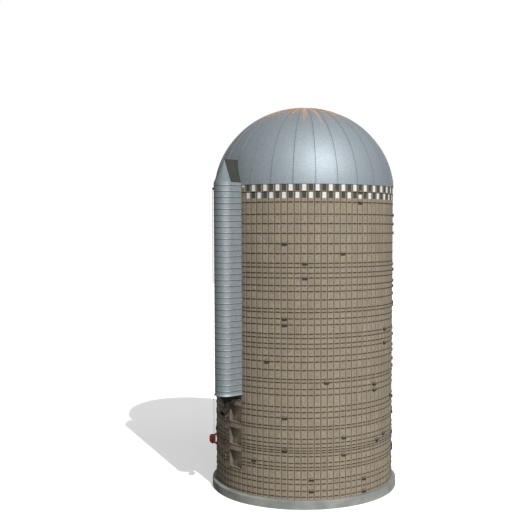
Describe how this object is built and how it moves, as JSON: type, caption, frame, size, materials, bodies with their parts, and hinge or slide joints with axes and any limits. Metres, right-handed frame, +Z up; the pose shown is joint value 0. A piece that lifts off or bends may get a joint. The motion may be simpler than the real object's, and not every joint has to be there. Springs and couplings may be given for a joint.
{
  "type": "concrete stave silo",
  "caption": "Domed concrete stave farm silo with steel hoops, chequered top courses, doorway, ribbed unloading chute with hood and spout, and a cable winch",
  "frame": {"origin": "the middle of the round foundation's underside, on the ground", "axes": "+Z up the silo's axis; -Y out through the doorway and the chute; +X to the right of someone facing the doorway"},
  "size_m": [7.812, 8.5626, 15.8523],
  "materials": {
    "foundation_concrete": "cast concrete, weathered",
    "stave_concrete": "vibrated concrete staves, matt and grainy",
    "hoop_steel": "weathered dark steel",
    "roof_sheet": "galvanised sheet",
    "chute_sheet": "galvanised ribbed sheet",
    "hood_paint": "dark olive paint",
    "door_steel": "weathered grey-brown paint",
    "door_board": "weathered board",
    "spout_steel": "near-black paint",
    "winch_paint": "red paint",
    "winch_black": "black paint",
    "cable_wire": "bare wire rope"
  },
  "bodies": {
    "root": {"chute_cleats": "chute_sheet", "chute_lip": "chute_sheet", "chute_lower": "chute_sheet", "chute_middle": "chute_sheet", "chute_upper": "chute_sheet", "dome_cap": "roof_sheet", "dome_gores_1": "roof_sheet", "dome_gores_2": "roof_sheet", "dome_gores_3": "roof_sheet", "dome_gores_4": "roof_sheet", "dome_gores_5": "roof_sheet", "dome_gores_6": "roof_sheet", "dome_gores_7": "roof_sheet", "dome_gores_8": "roof_sheet", "dome_gores_9": "roof_sheet", "door_panels": "door_board", "door_rails": "door_steel", "door_sill_bars": "door_steel", "door_stiles": "door_steel", "doorway_ends": "stave_concrete", "doorway_strips": "stave_concrete", "eave_ring": "roof_sheet", "foundation": "foundation_concrete", "hood_flashing": "hood_paint", "hood_nose": "chute_sheet", "hood_slopes": "hood_paint", "hoop_ends": "hoop_steel", "hoop_lugs": "hoop_steel", "hoops_lower": "hoop_steel", "hoops_middle": "hoop_steel", "hoops_upper": "hoop_steel", "pulley_bracket": "winch_paint", "pulley_wheel": "winch_paint", "spout_funnel": "spout_steel", "spout_pipe": "spout_steel", "wall_segment_01": "stave_concrete", "wall_segment_02": "stave_concrete", "wall_segment_03": "stave_concrete", "wall_segment_04": "stave_concrete", "wall_segment_05": "stave_concrete", "wall_segment_06": "stave_concrete", "wall_segment_07": "stave_concrete", "wall_segment_08": "stave_concrete", "wall_segment_09": "stave_concrete", "wall_segment_10": "stave_concrete", "wall_segment_11": "stave_concrete", "winch_bracket": "winch_paint", "winch_cable": "cable_wire", "winch_drum": "winch_black", "winch_frame": "winch_paint"}
  },
  "joints": []
}
